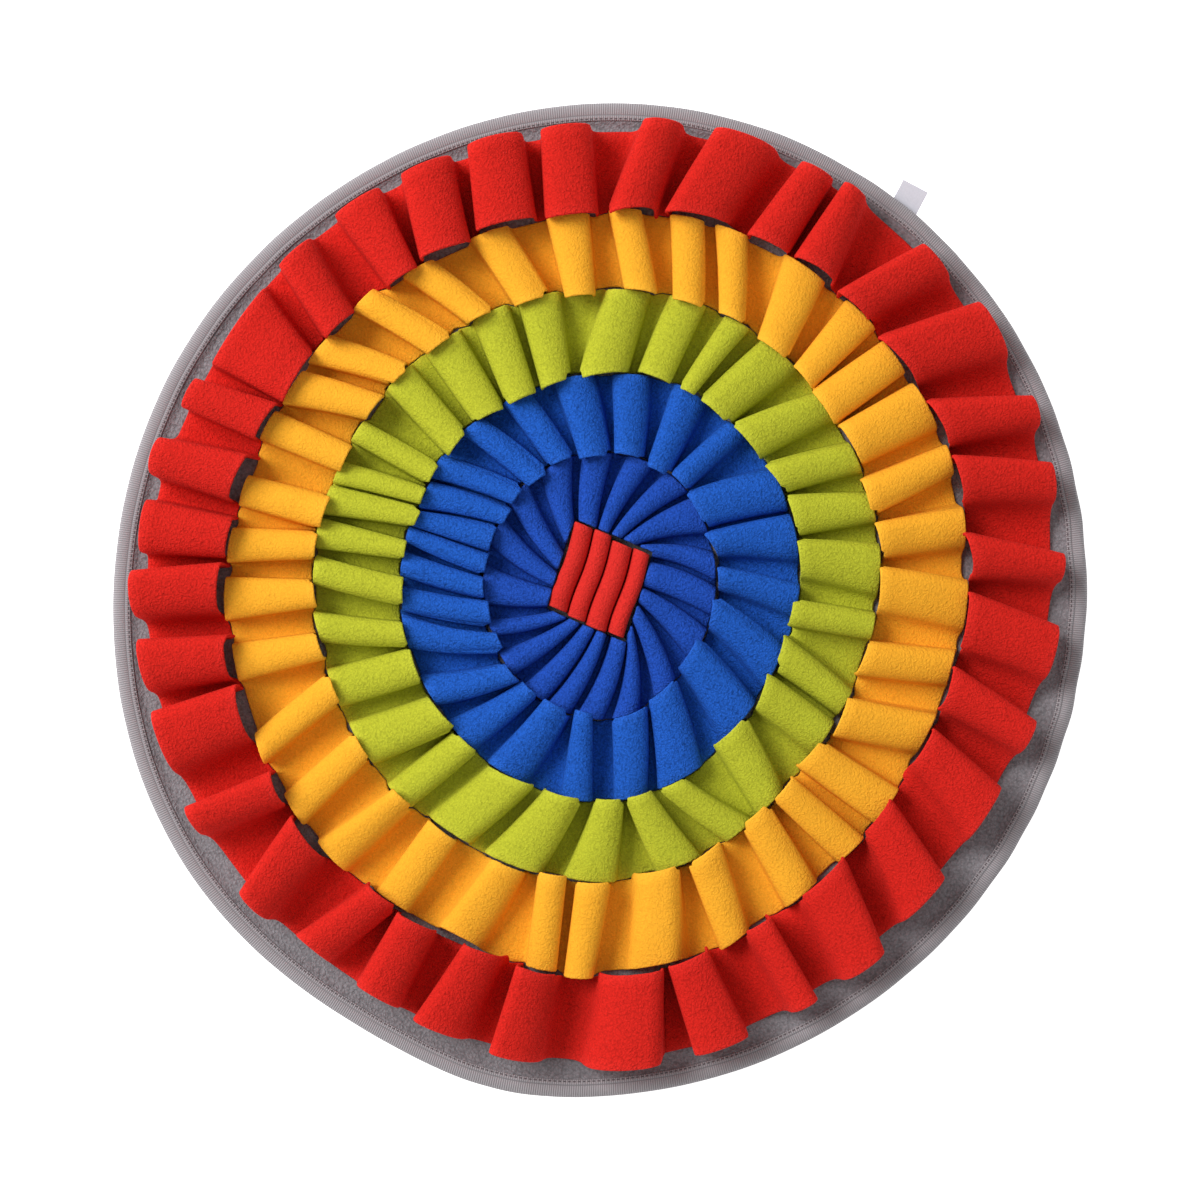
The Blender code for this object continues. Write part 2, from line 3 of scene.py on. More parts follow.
import bpy
import numpy as np
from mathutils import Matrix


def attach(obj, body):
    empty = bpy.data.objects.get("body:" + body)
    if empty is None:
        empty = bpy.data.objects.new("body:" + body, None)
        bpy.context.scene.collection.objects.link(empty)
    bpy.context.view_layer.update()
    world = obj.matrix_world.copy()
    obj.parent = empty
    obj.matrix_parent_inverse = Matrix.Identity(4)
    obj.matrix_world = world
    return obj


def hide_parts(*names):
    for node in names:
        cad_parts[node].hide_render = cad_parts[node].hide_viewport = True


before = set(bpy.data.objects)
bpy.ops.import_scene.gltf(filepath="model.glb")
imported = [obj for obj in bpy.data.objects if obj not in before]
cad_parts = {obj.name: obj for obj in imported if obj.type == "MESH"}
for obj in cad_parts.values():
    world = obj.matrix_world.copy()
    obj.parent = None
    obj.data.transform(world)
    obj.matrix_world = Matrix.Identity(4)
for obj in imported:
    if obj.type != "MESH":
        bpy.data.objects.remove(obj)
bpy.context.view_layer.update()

# ---------------------------------------------------------------- base
# A round sheet of grey fleece, 3 mm thick and brushed on top. It lies on the floor, and its
# rim rises a little to go inside the binding.


def turned(angle):
    """Sine and cosine of an angle in degrees clockwise from +Y."""
    return np.sin(np.radians(angle)), np.cos(np.radians(angle))


def bulge(rows, angle):
    """Sum of smooth bulges, each with an angle, a spread and a height, at some angles."""
    total = np.zeros(np.shape(angle))
    for middle, spread, height in rows:
        away = (angle - middle + 180) % 360 - 180
        total = total + height * np.exp(-0.5 * (away / spread) ** 2)
    return total


def oval(half_x, half_y, angle):
    """Radius of an ellipse at some angles."""
    x, y = turned(angle)
    return half_x * half_y / np.hypot(half_y * x, half_x * y)


def outline(angle):
    """Radius of the mat's outer edge in millimetres."""
    rows = ((62, 30, 3.4), (150, 26, -5.5), (192, 8, 3.0), (209, 12, -4.0), (247, 14, 2.4),
            (332, 24, -5.0))
    return oval(279.4, 288.2, angle) + bulge(rows, angle)


label_bearing = 37.9


def edge_lift(angle):
    """How far the edge rises over the label, in millimetres."""
    away = np.abs((angle - label_bearing + 180) % 360 - 180)
    blend = np.clip((7.0 - away) / 4.5, 0.0, 1.0)
    return 1.2 * blend * blend * (3 - 2 * blend)


def smooth_noise(where, seed, count):
    """Smooth random waves from -1 to 1 over positions from 0 to 1 that join at the ends."""
    source = np.random.default_rng(seed)
    total = np.zeros(np.shape(where))
    for wave in range(1, count + 1):
        strength = source.uniform(0.4, 1.0) / math.sqrt(count)
        total = total + strength * np.sin(2 * math.pi * (wave * where + source.uniform()))
    return total


def new_piece(name, points, faces, node, values=None):
    """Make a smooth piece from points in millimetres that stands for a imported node."""
    mesh = bpy.data.meshes.new(name)
    mesh.from_pydata((np.asarray(points) * 0.001).tolist(), [], faces)
    mesh.update()
    mesh.shade_smooth()
    for label, numbers in (values or {}).items():
        layer = mesh.attributes.new(label, "FLOAT", "POINT")
        layer.data.foreach_set("value", np.asarray(numbers, np.float32))
    piece = bpy.data.objects.new(name, mesh)
    bpy.context.scene.collection.objects.link(piece)
    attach(piece, "root")
    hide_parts(node)
    return piece


def grid_faces(rows, columns, closed_rows, closed_columns):
    """Quads of a grid of points that may join up either way."""
    across = np.arange(columns if closed_columns else columns - 1)
    down = np.arange(rows if closed_rows else rows - 1)
    here, step = np.meshgrid(down, across, indexing="ij")
    there = (here + 1) % rows
    after = (step + 1) % columns
    quads = np.stack([here * columns + step, there * columns + step,
                      there * columns + after, here * columns + after], axis=-1)
    return quads.reshape(-1, 4).tolist()


def add_node(tree, kind, settings=None, **sockets):
    """Add a shader node, set its fields, and set or link its inputs by name or as i0, i1, i2."""
    node = tree.nodes.new(kind)
    for field, value in (settings or {}).items():
        setattr(node, field, value)
    for label, value in sockets.items():
        key = int(label[1:]) if label[1:].isdigit() else label.replace("_", " ")
        socket = node.inputs[key]
        if isinstance(value, bpy.types.NodeSocket):
            tree.links.new(value, socket)
        else:
            socket.default_value = value
    return node


def nap_group():
    """Fleece nap: curled tufts about a millimetre and a half wide, with fine fibres over them."""
    group = bpy.data.node_groups.new("fleece_nap", "ShaderNodeTree")
    for label, kind in (("Colour", "NodeSocketColor"), ("Pebble", "NodeSocketFloat"),
                        ("Contrast", "NodeSocketFloat")):
        group.interface.new_socket(label, in_out="INPUT", socket_type=kind)
    for label, kind in (("Colour", "NodeSocketColor"), ("Height", "NodeSocketFloat")):
        group.interface.new_socket(label, in_out="OUTPUT", socket_type=kind)
    given = group.nodes.new("NodeGroupInput").outputs
    place = add_node(group, "ShaderNodeTexCoord").outputs["Object"]
    bent = add_node(group, "ShaderNodeTexNoise", {"noise_dimensions": "3D"},
                    Vector=place, Scale=520.0, Detail=1.0)
    shift = add_node(group, "ShaderNodeVectorMath", {"operation": "SCALE"},
                     i0=bent.outputs["Color"])
    shift.inputs["Scale"].default_value = 0.0024
    warped = add_node(group, "ShaderNodeVectorMath", {"operation": "ADD"}, i0=place,
                      i1=shift.outputs[0])
    tuft = add_node(group, "ShaderNodeTexVoronoi", {"feature": "SMOOTH_F1"},
                    Vector=warped.outputs[0], Scale=given["Pebble"], Smoothness=0.5)
    fine = add_node(group, "ShaderNodeTexNoise", {"noise_dimensions": "3D"},
                    Vector=place, Scale=1500.0, Detail=2.0, Roughness=0.6)
    curl = add_node(group, "ShaderNodeMath", {"operation": "MULTIPLY_ADD"},
                    i0=tuft.outputs["Distance"], i1=-1.1, i2=0.95)
    shade = add_node(group, "ShaderNodeMath", {"operation": "MULTIPLY_ADD"},
                     i0=fine.outputs[0], i1=0.7, i2=curl.outputs[0])
    centred = add_node(group, "ShaderNodeMath", {"operation": "SUBTRACT"},
                       i0=shade.outputs[0], i1=0.8)
    strength = add_node(group, "ShaderNodeMath", {"operation": "MULTIPLY_ADD"},
                        i0=centred.outputs[0], i1=given["Contrast"], i2=1.0)
    tint = add_node(group, "ShaderNodeVectorMath", {"operation": "SCALE"}, i0=given["Colour"])
    group.links.new(strength.outputs[0], tint.inputs["Scale"])
    sent = group.nodes.new("NodeGroupOutput").inputs
    group.links.new(tint.outputs[0], sent["Colour"])
    group.links.new(shade.outputs[0], sent["Height"])
    return group


nap = nap_group()


def fleece(name, colour, contrast, depth=0.0006, pebble=800.0, sheen=0.05):
    """Matt fleece of one colour, with a painted highlight along its cut edges."""
    material = bpy.data.materials.new(name)
    material.use_nodes = True
    tree = material.node_tree
    shader = tree.nodes["Principled BSDF"]
    shader.inputs["Roughness"].default_value = 0.95
    shader.inputs["Specular IOR Level"].default_value = 0.08
    shader.inputs["Sheen Weight"].default_value = sheen
    shader.inputs["Sheen Roughness"].default_value = 0.5
    pale = tuple(0.05 + 0.95 * part for part in colour)
    shader.inputs["Sheen Tint"].default_value = pale + (1.0,)
    # A lighter copy of the colour on the rounded cut edges: a painted highlight where the fuzz
    # catches light.
    rim_highlight = tuple(min(1.0, 0.004 + 1.15 * part) for part in colour)
    edge = add_node(tree, "ShaderNodeAttribute", {"attribute_name": "edge"}).outputs["Fac"]
    tint = add_node(tree, "ShaderNodeMix", {"data_type": "RGBA"}, Factor=edge)
    tint.inputs[6].default_value = tuple(colour) + (1.0,)
    tint.inputs[7].default_value = rim_highlight + (1.0,)
    cloth = add_node(tree, "ShaderNodeGroup", {"node_tree": nap},
                     Colour=tint.outputs[2], Pebble=pebble, Contrast=contrast)
    bump = add_node(tree, "ShaderNodeBump", None, Strength=0.8, Distance=depth,
                    Height=cloth.outputs["Height"])
    tree.links.new(cloth.outputs["Colour"], shader.inputs["Base Color"])
    tree.links.new(bump.outputs["Normal"], shader.inputs["Normal"])
    return material


# Where the outline's radii and the strips' places are measured from, in millimetres.
middle = np.array([-0.7, 0.12])
base_thickness = 3.0
turns = np.arange(0, 360, 1.0)
x, y = turned(turns)
# Columns: distance in from the mat's edge, and how high the under side is there.
section = ((240.0, 0.0), (150.0, 0.0), (60.0, 0.0), (30.0, 0.0), (20.0, 0.0), (15.5, 0.0),
           (13.6, 0.0), (12.4, 0.65), (11.2, 1.3), (6.0, 1.3), (2.6, 1.3))
rows = []
for side, part_way in ((0, section), (1, section[::-1])):
    for inset, rise in part_way:
        radius = outline(turns) - inset
        lift = edge_lift(turns) * (rise > 0.0)
        height = rise + lift + base_thickness * side + 0.0 * turns
        rows.append(np.stack([middle[0] + radius * x, middle[1] + radius * y, height], axis=-1))
under_middle = (middle[0], middle[1], 0.0)
top_middle = (middle[0], middle[1], base_thickness)
points = np.concatenate(rows + [[under_middle, top_middle]])
count = len(turns)
last = (len(rows) - 1) * count
under = [(len(points) - 2, step, (step + 1) % count) for step in range(count)]
top = [(len(points) - 1, last + (step + 1) % count, last + step) for step in range(count)]
base = new_piece("base_cloth", points, grid_faces(len(rows), count, False, True) + under + top,
                 "base")
base_fleece = fleece("base_fleece", (0.240, 0.229, 0.243), contrast=0.7, depth=0.0008,
                     pebble=600.0, sheen=0.1)
base.data.materials.append(base_fleece)

# ---------------------------------------------------------------- binding
# Ribbed tape, about 1 mm thick, folded over the rim of the base and held by one line of stitches.
# It puckers a little where it turns, most of all at the right.
turns = np.arange(0, 360, 0.5)
ribs_around = 1390.0
stitches_around = 620.0
groove_inset = 7.3
stitch_inset = 9.45
# Columns of the folded tape's section: distance in from the mat's edge, and height.
profile = np.array([(10.4, 4.65), (10.4, 5.25), (9.9, 5.35), (9.3, 5.4), (8.9, 5.55), (8.2, 5.7),
                    (7.6, 5.5), (7.2, 5.25), (6.7, 5.45), (5.0, 5.75), (3.0, 5.6), (1.4, 5.0),
                    (0.3, 3.9), (0.0, 2.8), (0.3, 1.5), (1.2, 0.5), (2.6, 0.05), (10.4, 0.05),
                    (10.4, 1.0), (2.4, 1.0), (1.4, 1.5), (1.0, 2.8), (1.4, 4.1), (2.4, 4.6)])[::-1]
puckers = smooth_noise(turns / 360, 7, 64) * (0.6 + bulge(((98, 24, 2.2), (40, 20, 0.8)), turns))
# How far a pucker moves the tape out, and its top up.
pucker_out, pucker_up = 0.15, 0.28
x, y = turned(turns)
points = []
for inset, height in profile:
    top = 1.0 if height > 5.0 else 0.0
    radius = outline(turns) - inset + pucker_out * puckers
    points.append(np.stack([middle[0] + radius * x, middle[1] + radius * y,
                            height + edge_lift(turns) + pucker_up * top * puckers], axis=-1))
points = np.concatenate(points)
binding = new_piece("binding_tape", points, grid_faces(len(profile), len(turns), True, True),
                    "binding",
                    {"across": np.repeat(profile[:, 0], len(turns))})
material = bpy.data.materials.new("edge_tape")
material.use_nodes = True
tree = material.node_tree
shader = tree.nodes["Principled BSDF"]
shader.inputs["Roughness"].default_value = 0.8
shader.inputs["Specular IOR Level"].default_value = 0.3
shader.inputs["Sheen Weight"].default_value = 0.15
across = add_node(tree, "ShaderNodeAttribute", {"attribute_name": "across"}).outputs["Fac"]
place = add_node(tree, "ShaderNodeTexCoord").outputs["Object"]
split = add_node(tree, "ShaderNodeSeparateXYZ", None, Vector=place)
bearing = add_node(tree, "ShaderNodeMath", {"operation": "ARCTAN2"},
                   i0=split.outputs["X"], i1=split.outputs["Y"])
turn = add_node(tree, "ShaderNodeMath", {"operation": "MULTIPLY"},
                i0=bearing.outputs[0], i1=ribs_around)
rib = add_node(tree, "ShaderNodeMath", {"operation": "SINE"}, i0=turn.outputs[0])
off_groove = add_node(tree, "ShaderNodeMath", {"operation": "SUBTRACT"},
                      i0=across, i1=groove_inset)
groove_size = add_node(tree, "ShaderNodeMath", {"operation": "ABSOLUTE"},
                       i0=off_groove.outputs[0])
band = add_node(tree, "ShaderNodeMapRange", None, Value=groove_size.outputs[0])
band.inputs["From Min"].default_value = 0.1
band.inputs["From Max"].default_value = 0.5
ribbed = add_node(tree, "ShaderNodeMath", {"operation": "MULTIPLY_ADD"},
                  i0=rib.outputs[0], i1=0.8, i2=0.9)
grooved = add_node(tree, "ShaderNodeMath", {"operation": "MULTIPLY"},
                   i0=ribbed.outputs[0], i1=band.outputs[0])
flat_rib = add_node(tree, "ShaderNodeMath", {"operation": "SUBTRACT"},
                    i0=grooved.outputs[0], i1=0.8)
ramp = add_node(tree, "ShaderNodeMapRange", None, Value=flat_rib.outputs[0])
ramp.inputs["From Min"].default_value = -1.0
ramp.inputs["To Min"].default_value = 0.0
# Dark grey where the ribs dip and along the groove, light grey on the ribs: painted shade in the
# tape's hollows, following the same pattern as the bump.
mix = add_node(tree, "ShaderNodeMix", {"data_type": "RGBA"}, Factor=ramp.outputs[0])
mix.inputs[6].default_value = (0.195, 0.178, 0.187, 1)
mix.inputs[7].default_value = (0.430, 0.402, 0.422, 1)
off_line = add_node(tree, "ShaderNodeMath", {"operation": "SUBTRACT"},
                    i0=across, i1=stitch_inset)
off_size = add_node(tree, "ShaderNodeMath", {"operation": "ABSOLUTE"}, i0=off_line.outputs[0])
seam = add_node(tree, "ShaderNodeMapRange", None, Value=off_size.outputs[0])
seam.inputs["From Min"].default_value = 0.55
seam.inputs["From Max"].default_value = 0.25
stitch_turn = add_node(tree, "ShaderNodeMath", {"operation": "MULTIPLY"},
                       i0=bearing.outputs[0], i1=stitches_around)
stitch = add_node(tree, "ShaderNodeMath", {"operation": "SINE"}, i0=stitch_turn.outputs[0])
stitch_on = add_node(tree, "ShaderNodeMapRange", None, Value=stitch.outputs[0])
stitch_on.inputs["From Min"].default_value = -0.9
stitch_on.inputs["From Max"].default_value = 0.2
stitched = add_node(tree, "ShaderNodeMath", {"operation": "MULTIPLY"}, i0=seam.outputs[0],
                    i1=stitch_on.outputs[0])
dark = add_node(tree, "ShaderNodeMix", {"data_type": "RGBA"}, Factor=stitched.outputs[0])
tree.links.new(mix.outputs[2], dark.inputs[6])
dark.inputs[7].default_value = (0.10, 0.085, 0.09, 1)
bump = add_node(tree, "ShaderNodeBump", None, Strength=0.6, Distance=0.0003,
                Height=flat_rib.outputs[0])
tree.links.new(dark.outputs[2], shader.inputs["Base Color"])
tree.links.new(bump.outputs["Normal"], shader.inputs["Normal"])
binding.data.materials.append(material)

# ---------------------------------------------------------------- label
# A bare tab of smooth white tape, 16 mm wide and 0.7 mm thick. Its inner 7 mm are sewn in under
# the binding, and its free end rises a little.
x, y = turned(label_bearing)
along_x, along_y = turned(label_bearing - 10.0)
radius = outline(label_bearing)
label_steps = 16
# In millimetres: the lengths sewn in and showing, half the width, the heights of the under side
# and the top, and the radius that the free end bends up on.
sewn_in, showing = 7.0, 13.6
label_half = 8.0
under, over = 0.05, 0.75
bend_radius = 180.0
section = ((label_half, under), (label_half, over), (-label_half, over), (-label_half, under))
rows = []
for distance in np.linspace(-sewn_in, showing, label_steps):
    bow = 0.5 * max(distance, 0.0) ** 2 / bend_radius
    for side, height in section:
        rows.append((middle[0] + radius * x + along_x * distance + along_y * side,
                     middle[1] + radius * y + along_y * distance - along_x * side,
                     height + bow))
last = 4 * label_steps - 4
faces = grid_faces(label_steps, 4, False, True)
faces += [(0, 1, 2, 3), (last + 3, last + 2, last + 1, last)]
label = new_piece("label_tab", rows, faces, "label")
for face in label.data.polygons:
    face.use_smooth = False
material = bpy.data.materials.new("label_tape")
material.use_nodes = True
tree = material.node_tree
shader = tree.nodes["Principled BSDF"]
shader.inputs["Roughness"].default_value = 0.6
place = add_node(tree, "ShaderNodeTexCoord").outputs["Object"]
weave = add_node(tree, "ShaderNodeTexNoise", None, Vector=place, Scale=900.0, Detail=2.0)
tone = add_node(tree, "ShaderNodeMix", {"data_type": "RGBA"}, Factor=weave.outputs[0])
tone.inputs[6].default_value = (0.55, 0.54, 0.60, 1)
tone.inputs[7].default_value = (0.66, 0.65, 0.71, 1)
tree.links.new(tone.outputs[2], shader.inputs["Base Color"])
label.data.materials.append(material)

# ---------------------------------------------------------------- the five strips
# Five strips of fleece, 45 to 50 mm wide, each gathered into upright loops and sewn down between
# them. Each strip gives way to the next: a loop pushes the line between two strips away, and it
# hangs over a neighbour that is lower there. So all the loops are listed together.

# Columns of a loop: its first and last bearing at the outer edge, the same at the inner edge,
# its lean, how far its outer end reaches out, and for the red ones how far its inner end
# stands back.
red_loops = (
    (172.5, 182.0, 170.3, 180.0, -1.0, 2.5, 0.5),
    (187.0, 193.7, 186.0, 192.8, 1.0, 1.5, 1),
    (196.8, 203.8, 194.6, 201.4, 0.9, 0.5, 0),
    (206.0, 212.0, 205.8, 212.6, 0.6, -1.5, 0),
    (216.5, 221.8, 213.1, 218.8, 0.5, -3.5, 0),
    (225.4, 230.6, 226.0, 234.5, 0.9, 3.5, 3),
    (238.7, 243.0, 236.2, 242.0, 0.7, 4.0, 1.5),
    (247.0, 255.5, 247.0, 256.3, 1.0, 3.5, 2.5),
    (257.8, 264.6, 257.0, 264.0, 0.8, 4.0, 3.0),
    (267.1, 273.1, 267.0, 275.0, 0.8, 6.5, 4.5),
    (275.3, 282.0, 275.6, 282.0, 0.4, 3.0, 1),
    (285.0, 289.8, 284.2, 291.9, 0.5, 7.0, 4.5),
    (294.2, 298.3, 294.2, 300.8, 0.0, 2.0, 2),
    (300.8, 312.5, 301.2, 310.5, -0.4, -2.5, 0),
    (315.7, 321.0, 313.1, 319.3, -0.5, -0.5, 0),
    (325.0, 331.6, 325.4, 331.0, 0.2, 1.5, 0),
    (334.6, 341.3, 331.9, 340.0, -0.4, 2.0, 1),
    (343.5, 350.5, 341.3, 350.5, -0.4, 4.0, 1),
    (352.7, 358.9, 351.8, 359.8, -0.3, 2.5, 0),
    (365.2, 370.2, 361.4, 368.5, -0.6, 4.0, 2),
    (373.8, 382.0, 369.6, 379.5, -1.0, 4.5, 2),
    (384.9, 389.4, 382.2, 389.0, -0.5, 1.5, 0.5),
    (390.6, 394.0, 389.8, 397.0, -0.6, 2.5, 3),
    (402.5, 408.0, 398.0, 405.0, -1.0, 2.5, 1.5),
    (412.1, 420.0, 407.1, 416.5, -1.0, 5.0, 1.5),
    (425.1, 429.2, 419.2, 427.0, -0.8, 5.0, 2),
    (433.5, 438.7, 428.3, 436.0, -1.0, 3.5, 2),
    (444.8, 448.5, 440.2, 447.5, -0.8, 4.0, 2.5),
    (453.7, 461.0, 449.4, 458.8, -1.0, 3.5, 1),
    (466.0, 470.8, 461.3, 468.8, -0.9, 3.0, 1.5),
    (475.5, 484.0, 471.7, 479.0, -1.0, 0.0, 0),
    (489.2, 497.5, 485.0, 492.5, -1.0, 1.5, 0),
    (501.3, 508.0, 497.0, 507.0, -1.0, 5.0, 0.5),
    (511.6, 515.6, 512.0, 516.7, -0.8, 2.5, 0),
    (521.3, 528.4, 523.0, 529.6, 0.0, 2.5, 0.5),
)
yellow_loops = (
    (1.6, 6.6, 4.7, 11.2, 0.0, 1.5),
    (10.8, 16.1, 14.0, 20.2, 0.0, 1.5),
    (17.7, 23.0, 23.2, 28.4, 0.0, 1.5),
    (28.8, 36.3, 31.9, 38.8, -0.1, 1.5),
    (40.2, 46.5, 40.7, 46.5, -0.1, 1.5),
    (48.4, 54.4, 46.6, 54.6, -0.2, 1.5),
    (56.2, 64.2, 55.0, 64.0, -0.6, 1.5),
    (66.8, 71.6, 66.6, 74.0, -0.2, 1.5),
    (76.6, 83.0, 75.7, 83.0, -0.7, 0.0),
    (87.8, 96.0, 84.6, 94.0, -1.0, 0.0),
    (98.9, 104.8, 100.0, 107.5, -0.3, -2.5),
    (109.6, 116.5, 112.4, 121.3, -0.6, -1.5),
    (122.9, 129.8, 123.3, 131.0, -0.1, 1.5),
    (132.4, 138.3, 133.2, 139.6, 0.0, 1.0),
    (142.6, 149.2, 141.1, 148.5, -0.2, 0.5),
    (155.7, 161.1, 153.8, 161.6, 0.0, 1.0),
    (166.9, 175.5, 163.5, 172.5, -0.8, -2.0),
    (180.6, 185.1, 177.5, 184.4, 0.0, 1.5),
    (186.2, 191.0, 186.2, 192.0, 0.0, 1.5),
    (198.0, 205.6, 194.4, 202.0, 0.6, -4.0),
    (210.6, 216.7, 209.5, 216.8, 0.0, -2.0),
    (222.0, 228.5, 220.8, 226.4, 0.6, 1.5),
    (231.7, 237.5, 233.8, 240.2, 0.0, 0.0),
    (242.8, 247.9, 246.5, 253.2, 0.1, 1.0),
    (256.1, 262.2, 256.3, 262.1, 0.0, -1.5),
    (265.7, 272.6, 267.0, 272.8, 0.0, 0.5),
    (274.7, 280.3, 276.7, 282.3, 0.0, 0.5),
    (283.7, 288.8, 283.2, 290.0, 0.0, 1.5),
    (294.4, 299.6, 295.0, 301.1, 0.0, 1.5),
    (301.0, 307.2, 306.6, 312.8, -0.1, 1.0),
    (308.5, 314.2, 314.8, 320.4, -0.1, 0.5),
    (319.2, 323.8, 324.2, 330.4, 0.0, 1.5),
    (328.3, 333.8, 334.0, 339.6, 0.0, 1.0),
    (340.2, 346.4, 343.7, 350.7, -0.2, 1.5),
    (352.1, 358.8, 353.6, 359.6, -0.1, 0.5),
)
green_loops = (
    (1.8, 10.5, -4.5, 8.5, -0.5, 1),
    (14.0, 21.6, 11.0, 20.3, 0.0, 0),
    (25.4, 31.0, 22.8, 27.4, 0.0, 0),
    (34.0, 43.4, 29.2, 40.0, -0.6, 1),
    (48.6, 55.3, 40.4, 52.5, -0.6, 0),
    (60.4, 67.0, 54.6, 64.2, -0.4, 0),
    (71.2, 77.4, 64.9, 76.5, -0.4, 0),
    (81.6, 92.5, 77.5, 88.5, -1.0, 0),
    (95.7, 101.5, 94.3, 102.2, -0.1, 0),
    (112.3, 118.5, 105.1, 116.0, -0.5, 0),
    (119.8, 128.4, 117.4, 128.5, -0.8, 0),
    (137.5, 145.3, 131.9, 144.0, -0.4, 0),
    (146.6, 153.6, 155.2, 162.8, 0.0, 0),
    (158.9, 168.5, 165.0, 172.2, 0.0, 0),
    (176.3, 186.5, 173.0, 180.8, -0.2, 1),
    (190.8, 202.8, 184.3, 194.5, -0.3, 1),
    (206.0, 216.2, 197.4, 211.0, -0.8, 0),
    (219.8, 226.5, 215.7, 224.5, -0.4, 0),
    (231.2, 241.0, 225.0, 236.5, -0.5, 1),
    (244.4, 252.7, 240.8, 251.4, -0.2, 0),
    (258.0, 264.7, 252.0, 259.6, 0.0, 0),
    (270.0, 276.0, 264.1, 272.4, 0.0, 1),
    (277.3, 283.7, 277.4, 283.2, 0.0, 0),
    (284.4, 290.6, 287.1, 293.4, 0.0, 0),
    (291.0, 296.0, 294.2, 299.5, 0.0, 0),
    (300.2, 305.3, 300.6, 307.5, 0.0, 0),
    (312.7, 319.9, 310.8, 319.9, -0.1, 0),
    (323.3, 331.8, 322.7, 332.5, -0.1, 0),
    (334.7, 342.5, 333.5, 342.6, -0.1, 0),
    (344.4, 353.0, 344.2, 353.0, -0.3, 1),
)
blue_loops = (
    (200.0, 212.8, 193.0, 206.5, 0.5, 0),
    (217.4, 228.6, 210.0, 220.0, -0.3, 0),
    (233.5, 243.9, 220.6, 232.5, -0.3, 1),
    (251.8, 262.2, 237.1, 247.0, 0.0, 0),
    (263.0, 270.2, 251.2, 263.0, 0.0, 1),
    (273.1, 280.4, 264.5, 274.8, 0.0, 1),
    (282.8, 287.7, 276.2, 286.5, 0.0, 0),
    (287.9, 292.6, 287.6, 300.3, 0.0, 0),
    (293.4, 302.2, 301.8, 311.3, 0.0, 0),
    (302.6, 310.0, 312.6, 321.6, 0.0, 0),
    (317.8, 325.4, 324.0, 335.5, 0.0, 0),
    (332.0, 340.3, 336.6, 348.4, 0.0, 0),
    (347.3, 358.8, 350.7, 364.6, -0.5, 0),
    (363.3, 373.8, 366.0, 379.0, -0.5, 1),
    (380.0, 390.5, 380.7, 392.0, -0.5, 0),
    (397.6, 404.5, 392.3, 402.5, -0.3, 0),
    (415.4, 428.0, 403.0, 421.5, -0.5, 0),
    (428.9, 443.0, 423.1, 436.0, -0.8, 0),
    (449.2, 459.3, 440.5, 452.0, -0.8, 0),
    (467.6, 481.6, 455.6, 471.0, -0.8, 0),
    (485.8, 501.6, 477.9, 496.0, -0.8, 1),
    (510.0, 524.0, 500.8, 517.0, -0.2, 0),
    (527.0, 536.3, 518.6, 535.0, 0.0, 0),
    (541.8, 550.6, 543.0, 551.5, 0.0, 0),
)
royal_loops = (
    (352.0, 365.6, 341.5, 357.5, -0.2, 0),
    (372.0, 384.5, 358.5, 370.5, -0.2, 0),
    (390.5, 403.5, 373.3, 385.5, -0.2, 0),
    (406.0, 424.5, 387.3, 403.0, -0.3, 0),
    (433.5, 447.8, 406.0, 423.0, -0.2, 0),
    (450.8, 465.3, 426.0, 453.0, -0.2, 0),
    (472.3, 490.0, 455.0, 475.0, -0.2, 0),
    (501.0, 514.0, 479.0, 498.0, -0.2, 0),
    (522.0, 534.7, 502.0, 512.0, -0.2, 0),
    (538.5, 550.3, 515.4, 528.5, -0.2, 0),
    (553.0, 563.8, 533.0, 544.5, -0.2, 0),
    (565.0, 577.2, 547.0, 563.5, -0.2, 0),
    (583.5, 596.5, 567.5, 582.0, -0.2, 0),
    (604.0, 613.0, 585.0, 601.0, -0.2, 0),
    (620.5, 640.0, 608.0, 626.0, -0.2, 0),
    (650.0, 665.0, 628.5, 647.0, -0.3, 0),
    (672.5, 684.8, 650.4, 672.0, -0.2, 0),
    (691.5, 708.0, 680.8, 698.0, -0.2, 0),
)
all_loops = (red_loops, yellow_loops, green_loops, blue_loops, royal_loops)
innermost = 4
# Columns of a lane: place of its middle to the right and up, half its width and half its height.
lanes = ((0.6, 2.6, 259.5, 267.0), (-0.6, 3.7, 211.3, 218.9), (-1.1, 8.7, 162.0, 170.6),
         (0.6, 7.5, 114.8, 123.3), (0.6, 8.7, 67.5, 77.5))
# For each strip: how high its loops stand, the least and greatest share of that at its inner and
# its outer edge, and how far the line outside it may stray.
rises = (31.0, 24.0, 22.0, 20.0, 18.0)
inner_shares = ((1.01, 1.07), (1.01, 1.07), (1.01, 1.07), (1.01, 1.07), (0.80, 0.88))
outer_shares = ((1.0, 1.0), (0.76, 0.84), (0.76, 0.84), (0.76, 0.84), (0.70, 0.80))
most_stray = (0.0, 2.0, 2.6, 2.4, 1.9)
seam_height = 4.2
bearings = np.arange(0, 360, 0.5)


def around(values, angle):
    """Value at any bearing of a list kept for every half degree."""
    closed = np.append(values, values[0])
    return np.interp(np.asarray(angle) % 360, np.append(bearings, 360.0), closed)


def spread(values, degrees, greatest=False):
    """Mean or greatest of a list over some degrees to either side."""
    shifted = [np.roll(values, step) for step in range(-int(2 * degrees), int(2 * degrees) + 1)]
    return np.max(shifted, axis=0) if greatest else np.mean(shifted, axis=0)


